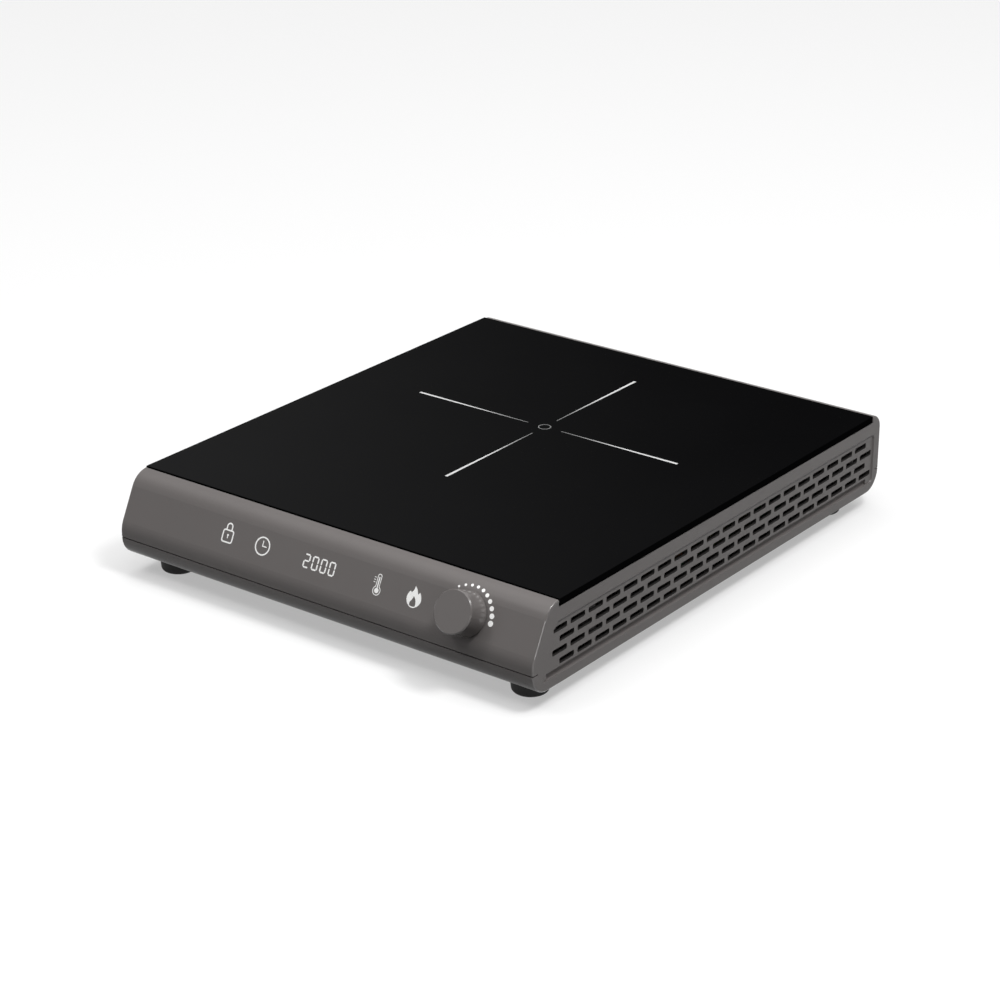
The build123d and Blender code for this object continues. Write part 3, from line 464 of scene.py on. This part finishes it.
def glass_print():
    """Fired white ink, thinner towards the middle of the cooking zone."""
    finish = Finish("glass_print", {"Roughness": 0.5})
    across = finish.axis(finish.places, "X") - zone[0]
    along = finish.axis(finish.places, "Y") - zone[1]
    from_middle = (across * across + along * along) ** 0.5
    thin_end, full_end = zone_arms["Inner end"] * MM, full_ink_share * zone_arms["Outer end"] * MM
    cover = finish.smooth_step(from_middle, thin_end, full_end)
    ink = finish.noise(scale=1200)
    bright = finish.mix(ink, *ink_tones)
    finish.feed({"Base Color": finish.mix(cover, thin_ink_tone, bright)})
    return finish.material


# Finishes of the inner pieces

def moulding(name, dark, light, roughness, grain_scale=2000):
    """Plain moulded plastic or rubber with a little grain and tone."""
    finish = Finish(name)
    grain = finish.noise(grain_scale)
    tone = finish.noise(scale=70, detail=3)
    finish.feed({
        "Base Color": finish.mix(tone, dark, light),
        "Roughness": roughness + 0.1 * grain,
    })
    finish.bump(grain, depth=0.02 * MM, strength=0.4)


def drawn_metal(name, dark, light, roughness, stretch):
    """Metal with fine drawn lines along one axis."""
    finish = Finish(name, {"Metallic": 1.0})
    lines = finish.noise(scale=900, detail=3, places=finish.stretched(stretch))
    finish.feed({
        "Base Color": finish.mix(lines, dark, light),
        "Roughness": roughness + 0.2 * lines,
    })
    finish.bump(lines, depth=0.01 * MM, strength=0.4)


def circuit_board():
    """Green solder mask over copper tracks, with tinned pads."""
    finish = Finish("circuit_board")
    places = finish.stretched((1, 1, 0))
    to_edge = finish.cells(scale=180, feature="DISTANCE_TO_EDGE", places=places)
    copper = finish.smooth_step(to_edge, low=0.05, high=0.07)
    pad_radius = 0.12
    pads = finish.cells(scale=320, places=places) < pad_radius
    masked = finish.mix(copper, *board_tones)
    finish.feed({
        "Base Color": finish.mix(pads, masked, pad_tone),
        "Roughness": 0.32 - 0.1 * pads,
        "Metallic": pads,
    })
    finish.bump(copper, depth=0.03 * MM, strength=0.5)


def enamelled_copper():
    """Twisted strands of enamelled wire."""
    finish = Finish("enamelled_copper")
    strands = finish.noise(scale=1600, places=finish.stretched((1, 1, 0.4)))
    finish.feed({
        "Base Color": finish.mix(strands, *copper_tones),
        "Roughness": 0.28 + 0.2 * strands,
        "Metallic": 0.55 + 0.4 * strands,
    })
    finish.bump(strands, depth=0.08 * MM, strength=0.6)


def mica():
    """Pressed mica flakes."""
    finish = Finish("mica")
    flakes = finish.cells(scale=420)
    finish.feed({
        "Base Color": finish.mix(flakes, *mica_tones),
        "Roughness": 0.35 + 0.3 * flakes,
    })
    finish.bump(flakes, depth=0.03 * MM, strength=0.5)


def finish_frame():
    """Every finish that the frame's own pieces use."""
    housing_plastic()
    knob_plastic()
    black_glass()
    foot_rubber()
    circuit_board()
    enamelled_copper()
    mica()
    for name, settings in mouldings.items():
        moulding(name, *settings)
    for name, settings in drawn_metals.items():
        drawn_metal(name, *settings)


# Making pieces

def piece(name, mesh, material):
    """A finished mesh as a piece of the body that stands still."""
    made = bpy.data.objects.new(name, mesh)
    bpy.context.scene.collection.objects.link(made)
    mesh.materials.clear()
    mesh.materials.append(material)
    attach(made, "root")
    return made


def panel_point(place):
    """From millimetres across, up and off the panel to the frame, over its rounded top edge."""
    across, along, lift = (value * MM for value in place)
    if along <= panel_flat:
        return panel_middle + Vector((across, 0, 0)) + panel_up * along + panel_normal * lift
    turn = (along - panel_flat) / top_edge_radius
    centre = panel_middle + panel_up * panel_flat - panel_normal * top_edge_radius
    outward = panel_normal * cos(turn) + panel_up * sin(turn)
    return centre + Vector((across, 0, 0)) + outward * (top_edge_radius + lift)


def level_point(place):
    """From millimetres round the knob's ring of dots to the frame."""
    return panel_point(Vector((*level_middle, 0)) + place)


def glass_point(place):
    """From millimetres round the cooking zone's middle to the frame."""
    return Vector(zone) + place * MM


def spread(mesh, surface):
    """Carry a flat mesh's points over a surface of the frame."""
    for vertex in mesh.vertices:
        vertex.co = surface(vertex.co)
    mesh.update()
    return mesh


def arc(centre, radius, first, last, steps):
    """Points along an arc, angles in degrees."""
    turns = [radians(first + (last - first) * step / steps) for step in range(steps + 1)]
    return [(centre[0] + radius * cos(turn), centre[1] + radius * sin(turn)) for turn in turns]


def ring(centre, radius, steps=ring_steps):
    """Points round a full circle."""
    return arc(centre, radius, 0, 360, steps)[:-1]


def rounded_box(centre, size, radius):
    """Corner arcs of a rounded rectangle, in order."""
    half_width, half_height = size[0] / 2 - radius, size[1] / 2 - radius
    points = []
    for side, end, first in ((1, 1, 0), (-1, 1, 90), (-1, -1, 180), (1, -1, 270)):
        middle = (centre[0] + side * half_width, centre[1] + end * half_height)
        points += arc(middle, radius, first, first + 90, corner_steps)
    return points


class Drawing:
    """Flat shapes in millimetres that become one thin raised print."""

    def __init__(self):
        self.shapes = bmesh.new()

    def fill(self, points):
        corners = [self.shapes.verts.new((*point, 0)) for point in points]
        self.shapes.faces.new(corners)

    def stroke(self, points, width=sign_stroke, closed=False):
        path = [Vector(point) for point in points]
        last = len(path) - 1
        edges = []
        for index, point in enumerate(path):
            before = path[index - 1] if closed or index > 0 else None
            after = path[(index + 1) % len(path)] if closed or index < last else None
            out = (after - point).normalized() if after else (point - before).normalized()
            into = (point - before).normalized() if before else out
            along = (into + out).normalized()
            reach = Vector((-along.y, along.x)) * (width / 2 / along.dot(out))
            sides = (point + reach, point - reach)
            edges.append([self.shapes.verts.new((*side, 0)) for side in sides])
        for index in range(len(path) if closed else last):
            (left, right), (next_left, next_right) = edges[index], edges[(index + 1) % len(path)]
            self.shapes.faces.new((left, right, next_right, next_left))

    def outline(self, points, tips):
        """Fill a smooth closed curve through the points, with sharp corners at the tips."""
        curve = bpy.data.curves.new("outline", "CURVE")
        curve.dimensions = "2D"
        curve.fill_mode = "BOTH"
        curve.resolution_u = outline_steps
        spline = curve.splines.new("BEZIER")
        spline.bezier_points.add(len(points) - 1)
        spline.use_cyclic_u = True
        for index, (knot, point) in enumerate(zip(spline.bezier_points, points)):
            knot.co = (*point, 0)
            knot.handle_left_type = knot.handle_right_type = "VECTOR" if index in tips else "AUTO"
        holder = bpy.data.objects.new("outline", curve)
        bpy.context.scene.collection.objects.link(holder)
        evaluated = holder.evaluated_get(bpy.context.evaluated_depsgraph_get())
        self.shapes.from_mesh(bpy.data.meshes.new_from_object(evaluated))
        bpy.data.objects.remove(holder)

    def raised(self, name):
        """The drawing as a closed thin print."""
        drawn = self.shapes
        bmesh.ops.remove_doubles(drawn, verts=drawn.verts, dist=1e-4)
        for vertex in drawn.verts:
            vertex.co.z = -print_sunk
        grown = bmesh.ops.extrude_face_region(drawn, geom=drawn.faces[:], use_keep_orig=True)
        for item in grown["geom"]:
            if isinstance(item, bmesh.types.BMVert):
                item.co.z = print_raised
        bmesh.ops.recalc_face_normals(drawn, faces=drawn.faces)
        mesh = bpy.data.meshes.new(name)
        drawn.to_mesh(mesh)
        drawn.free()
        return mesh


class Growth(Nodes):
    """A Geometry Nodes tree with named sizes."""

    def __init__(self, name, sizes):
        super().__init__(bpy.data.node_groups.new(name, "GeometryNodeTree"))
        self.name = name
        self.sizes = sizes
        interface = self.tree.interface
        interface.new_socket("Geometry", in_out="OUTPUT", socket_type="NodeSocketGeometry")
        for label, value in sizes.items():
            kind = "NodeSocketInt" if isinstance(value, int) else "NodeSocketFloat"
            interface.new_socket(label, in_out="INPUT", socket_type=kind)
        self.index = self.node("GeometryNodeInputIndex")

    def size(self, label):
        return self.node("NodeGroupInput", output=label)

    def moved(self, geometry, move=(0, 0, 0), turn=(0, 0, 0)):
        sockets = {"Geometry": geometry, "Translation": move, "Rotation": turn}
        return self.node("GeometryNodeTransform", None, sockets)

    def copies(self, count, position, instance, settings):
        points = self.node("GeometryNodePoints", None, {"Count": count, "Position": position})
        sockets = {"Points": points, "Instance": instance, **settings}
        return self.node("GeometryNodeInstanceOnPoints", None, sockets)

    def mesh(self, geometry, material):
        """End the tree with the geometry and give the mesh that it makes."""
        real = self.node("GeometryNodeRealizeInstances", None, {"Geometry": geometry})
        coated = self.node("GeometryNodeSetMaterial", None, {"Geometry": real, "Material": material})
        self.node("NodeGroupOutput", None, {"Geometry": coated})
        holder = bpy.data.objects.new(self.name, bpy.data.meshes.new(self.name))
        bpy.context.scene.collection.objects.link(holder)
        modifier = holder.modifiers.new(self.name, "NODES")
        modifier.node_group = self.tree
        for item in self.tree.interface.items_tree:
            if item.in_out == "INPUT":
                modifier[item.identifier] = self.sizes[item.name]
        evaluated = holder.evaluated_get(bpy.context.evaluated_depsgraph_get())
        mesh = bpy.data.meshes.new_from_object(evaluated)
        holder.modifiers.remove(modifier)
        bpy.data.objects.remove(holder)
        return mesh


# Signs on the panel

def lock_sign(drawing):
    drawing.stroke(rounded_box((lock_x, lock_middle), lock_body, lock_corner), closed=True)
    feet = lock_middle + lock_body[1] / 2 + sign_stroke / 2
    loop = arc((lock_x, shackle_top - shackle_radius), shackle_radius, 0, 180, shackle_steps)
    drawing.stroke([(lock_x + shackle_radius, feet), *loop, (lock_x - shackle_radius, feet)])
    drawing.fill(ring((lock_x, keyhole_top), keyhole_radius, small_ring_steps))
    slit_top = keyhole_top - keyhole_overlap * keyhole_radius
    drawing.stroke([(lock_x, slit_top), (lock_x, keyhole_bottom)], keyhole_radius)


def clock_sign(drawing):
    drawing.stroke(ring((clock_x, 0), clock_radius), closed=True)
    drawing.stroke([(clock_x, clock_minute), (clock_x, 0), (clock_x + clock_hour, 0)], thin_stroke)


def segment(drawing, middle, reach, upright):
    """One bar of a seven-segment digit, pointed at both ends."""
    half = segment_width / 2
    bar = [(-reach, 0), (half - reach, half), (reach - half, half), (reach, 0)]
    bar += [(reach - half, -half), (half - reach, -half)]
    if upright:
        bar = [(across, along) for along, across in bar]
    drawing.fill([(middle[0] + x, middle[1] + y) for x, y in bar])


def power_sign(drawing):
    side, height = digit_width / 2, digit_half_height
    flat_bars = {"a": height, "g": 0, "d": -height}
    upright_bars = {"b": (side, height / 2), "c": (side, -height / 2)}
    upright_bars |= {"e": (-side, -height / 2), "f": (-side, height / 2)}
    first = digits_x - digit_pitch * (len(power_digits) - 1) / 2
    for place, digit in enumerate(power_digits):
        middle = first + place * digit_pitch
        for bar in lit_segments[digit]:
            if bar in flat_bars:
                segment(drawing, (middle, flat_bars[bar]), side - segment_gap, False)
            else:
                across, up = upright_bars[bar]
                segment(drawing, (middle + across, up), height / 2 - segment_gap, True)


def thermometer_sign(drawing):
    neck = degrees(asin(tube_radius / bulb_radius))
    bulb = arc((thermometer_x, bulb_middle), bulb_radius, 90 - neck, neck - 270, bulb_steps)
    cap = arc((thermometer_x, tube_top), tube_radius, 180, 0, cap_steps)
    drawing.stroke([*bulb, *cap], fine_stroke, closed=True)
    drawing.fill(ring((thermometer_x, bulb_middle), filling_radius, small_ring_steps))
    foot = bulb_middle + filling_overlap * filling_radius
    drawing.stroke([(thermometer_x, foot), (thermometer_x, filling_top)], filling_width)
    for height in tick_heights:
        drawing.stroke([(end, height) for end in tick_ends], fine_stroke)


def flame_sign(drawing):
    drawing.outline(flame_points, flame_tips)
    drawing.stroke(flame_foot, thin_stroke)


def ring_of_dots(material):
    """Dots round the knob that grow with the power level."""
    growth = Growth("level_dots", level_dots)
    angle = growth.size("First angle") + growth.size("Angle step") * growth.index
    radius = growth.size("Ring radius")
    cosine = growth.node("ShaderNodeMath", {"operation": "COSINE"}, {0: angle})
    sine = growth.node("ShaderNodeMath", {"operation": "SINE"}, {0: angle})
    share = growth.index / (growth.size("Count") - 1)
    first = growth.size("First diameter")
    diameter = first + (growth.size("Last diameter") - first) * share
    disc = growth.node("GeometryNodeMeshCylinder", None, {
        "Vertices": dot_sides, "Radius": 0.5, "Depth": 2 * growth.size("Thickness"),
    })
    dots = growth.copies(
        growth.size("Count"),
        growth.vector(radius * cosine, radius * sine, 0),
        disc,
        {"Scale": growth.vector(diameter, diameter, 1)},
    )
    return spread(growth.mesh(dots, material), level_point)


def panel_signs():
    material = lit_sign()
    for draw in (lock_sign, clock_sign, power_sign, thermometer_sign, flame_sign):
        drawing = Drawing()
        draw(drawing)
        mesh = spread(drawing.raised(draw.__name__), panel_point)
        piece(draw.__name__, mesh, material)
    piece("level_dots", ring_of_dots(material), material)


# Print on the glass

def cross_arms(material):
    """Tapered bars that mark the cooking zone's axes."""
    growth = Growth("zone_arms", zone_arms)
    inner, outer = growth.size("Inner end"), growth.size("Outer end")
    inner_width = growth.size("Inner width")
    length = outer - inner
    blank = growth.node("GeometryNodeMeshCube", None, {
        "Size": growth.vector(length, 1, 2 * growth.size("Thickness")),
    })
    bar = growth.moved(blank, growth.vector((inner + outer) / 2, 0, 0))
    place = growth.node("GeometryNodeInputPosition")
    x, y, z = (growth.axis(place, name) for name in "XYZ")
    width = inner_width + (growth.size("Outer width") - inner_width) * (x - inner) / length
    tapered = growth.node("GeometryNodeSetPosition", None, {
        "Geometry": bar, "Position": growth.vector(x, y * width, z),
    })
    quarter = growth.index * (2 * pi) / growth.size("Arms")
    turn = growth.node("FunctionNodeEulerToRotation", None, {0: growth.vector(0, 0, quarter)})
    arms = growth.copies(growth.size("Arms"), (0, 0, 0), tapered, {"Rotation": turn})
    return spread(growth.mesh(arms, material), glass_point)


def zone_print():
    material = glass_print()
    piece("zone_arms", cross_arms(material), material)
    drawing = Drawing()
    drawing.stroke(ring((0, 0), zone_ring_radius), thin_stroke, closed=True)
    piece("zone_ring", spread(drawing.raised("zone_ring"), glass_point), material)


def glass_edge():
    """A skin round the plate's edge, which is ground matt where its face is polished."""
    low, high = glass_low / MM, glass_high / MM
    shape = bmesh.new()
    loops = []
    for inset, z in (
        (-edge_skin, low.z),
        (-edge_skin, high.z - edge_below_face),
        (edge_sunk, high.z - edge_below_face),
        (edge_sunk, low.z),
    ):
        xs, ys = (low.x + inset, high.x - inset), (low.y + inset, high.y - inset)
        corners = ((xs[0], ys[0]), (xs[1], ys[0]), (xs[1], ys[1]), (xs[0], ys[1]))
        loops.append([shape.verts.new((x * MM, y * MM, z * MM)) for x, y in corners])
    for loop, after in zip(loops, loops[1:] + loops[:1]):
        for index in range(4):
            following = (index + 1) % 4
            shape.faces.new((loop[index], loop[following], after[following], after[index]))
    bmesh.ops.recalc_face_normals(shape, faces=shape.faces)
    mesh = bpy.data.meshes.new("glass_edge")
    shape.to_mesh(mesh)
    shape.free()
    piece("glass_edge", mesh, ground_edge())


# Screws in the base

def cross_screws():
    """Pan-head screws with a cross recess, in place of the base's plain ones."""
    low, high = (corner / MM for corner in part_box("base_screws"))
    sizes = {**base_screw, "Length": high.z - low.z, "Span": high.x - low.x, "Reach": high.y - low.y}
    growth = Growth("base_screw_heads", sizes)
    depth, head = growth.size("Recess depth"), growth.size("Head height")
    head_radius = growth.size("Head radius")
    disc = growth.node("GeometryNodeMeshCylinder", None, {
        "Vertices": screw_head_sides, "Radius": head_radius, "Depth": head,
    })
    blade = growth.node("GeometryNodeMeshCube", None, {
        "Size": growth.vector(growth.size("Recess length"), growth.size("Recess width"), depth * 2),
    })
    low_face = growth.vector(0, 0, head * -0.5)
    blades = [growth.moved(blade, low_face, (0, 0, turn)) for turn in (0, pi / 2)]
    recess = growth.node("GeometryNodeMeshBoolean", {"operation": "UNION"}, {"Mesh 2": blades})
    cut_head = growth.node("GeometryNodeMeshBoolean", {"operation": "DIFFERENCE"}, {
        "Mesh 1": disc, "Mesh 2": recess,
    })
    length = growth.size("Length") - head
    shank = growth.node("GeometryNodeMeshCylinder", None, {
        "Vertices": screw_shank_sides, "Radius": growth.size("Shank radius"), "Depth": length,
    })
    raised = growth.moved(shank, growth.vector(0, 0, (length + head) / 2))
    screw = growth.node("GeometryNodeJoinGeometry", None, {"Geometry": [cut_head, raised]})
    column = growth.node("ShaderNodeMath", {"operation": "MODULO"}, {0: growth.index, 1: screw_columns})
    row = growth.node("ShaderNodeMath", {"operation": "GREATER_THAN"}, {
        0: growth.index, 1: screw_columns - 0.5,
    })
    across = (column - 0.5) * (growth.size("Span") - 2 * head_radius)
    along = (row - 0.5) * (growth.size("Reach") - 2 * head_radius)
    material = bpy.data.materials["zinc_steel"]
    screws = growth.copies(screw_columns * screw_rows, growth.vector(across, along, 0), screw, {})
    mesh = growth.mesh(screws, material)
    middle = (low + high) / 2
    middle.z = low.z + base_screw["Head height"] / 2
    spread(mesh, lambda place: (place + middle) * MM)
    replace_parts(piece("cross_screws", mesh, material), "base_screws")


# Studio

def studio_floor():
    """A pale floor that bends up into a low backdrop all round, and throws little light back."""
    settings = {"Roughness": 0.9, "Specular IOR Level": 0.0, "Emission Strength": 1.0}
    finish = Finish("studio_floor", settings)
    seen = sum(finish.node("ShaderNodeLightPath", output=f"Is {kind} Ray") for kind in seen_rays)
    finish.feed({
        "Base Color": finish.mix(seen, floor_bounced, floor_shown),
        "Emission Color": finish.mix(seen, (0.0, 0.0, 0.0), floor_glow),
    })
    profile = [(0.0, 0.0), (floor_flat, 0.0)]
    for step in range(1, bend_steps + 1):
        turn = pi / 2 * step / bend_steps
        profile.append((floor_flat + floor_bend * sin(turn), floor_height * (1 - cos(turn))))
    shape = bmesh.new()
    rows = []
    for turn in range(floor_steps):
        angle = 2 * pi * turn / floor_steps
        rows.append([shape.verts.new((r * cos(angle), r * sin(angle), z)) for r, z in profile])
    for row, after in zip(rows, rows[1:] + rows[:1]):
        for index in range(len(profile) - 1):
            shape.faces.new((row[index], row[index + 1], after[index + 1], after[index]))
    bmesh.ops.remove_doubles(shape, verts=shape.verts, dist=1e-6)
    mesh = bpy.data.meshes.new("studio_floor")
    shape.to_mesh(mesh)
    shape.free()
    for face in mesh.polygons:
        face.use_smooth = True
    mesh.materials.append(finish.material)
    floor = bpy.data.objects.new("studio_floor", mesh)
    bpy.context.scene.collection.objects.link(floor)


def studio_dome():
    """A bright ceiling, and a dim glow at the back that fades across the glass."""
    world = bpy.data.worlds.new("studio_dome")
    bpy.context.scene.world = world
    world.use_nodes = True
    nodes = Nodes(world.node_tree)
    nodes.tree.nodes.clear()
    direction = nodes.node("ShaderNodeTexCoord", output="Generated")
    upward, to_back = (nodes.axis(direction, name) for name in "ZY")
    ceiling = nodes.node("ShaderNodeValToRGB", {"stops": ceiling_stops}, {0: upward})
    glow = nodes.smooth_step(to_back, *band_rise) - nodes.smooth_step(to_back, *band_fall)
    light = ceiling * ceiling_strength + glow * band_strength
    white = (1.0, 1.0, 1.0, 1.0)
    dome = nodes.node("ShaderNodeBackground", None, {"Color": white, "Strength": light})
    nodes.node("ShaderNodeOutputWorld", None, {"Surface": dome})


def softbox(name, place, target, size, power, roll=0.0):
    """A soft rectangular lamp aimed at a point and turned about its aim."""
    lamp = bpy.data.lights.new(name, "AREA")
    lamp.shape = "RECTANGLE"
    lamp.size, lamp.size_y = size
    lamp.energy = power
    stand = bpy.data.objects.new(name, lamp)
    aim(stand, place, target, roll)


def aim(thing, place, target, roll=0.0):
    """Put a lamp or camera at a place, looking at the target."""
    level = (Vector(target) - Vector(place)).to_track_quat("-Z", "Y")
    thing.location = place
    thing.rotation_euler = (level @ Quaternion((0, 0, 1), roll)).to_euler()
    bpy.context.scene.collection.objects.link(thing)


def photo_camera():
    camera = bpy.data.cameras.new("photo_camera")
    camera.lens = camera_lens
    camera.sensor_width = camera_sensor
    stand = bpy.data.objects.new("photo_camera", camera)
    level, rise = camera_distance * cos(camera_rise), camera_distance * sin(camera_rise)
    away = Vector((level * sin(camera_turn), -level * cos(camera_turn), rise))
    aim(stand, camera_aim + away, camera_aim)
    bpy.context.scene.camera = stand


finish_frame()
panel_signs()
zone_print()
glass_edge()
cross_screws()
studio_floor()
studio_dome()
for name, settings in softboxes.items():
    softbox(name, **settings)
photo_camera()
bpy.context.scene.view_settings.view_transform = "Standard"
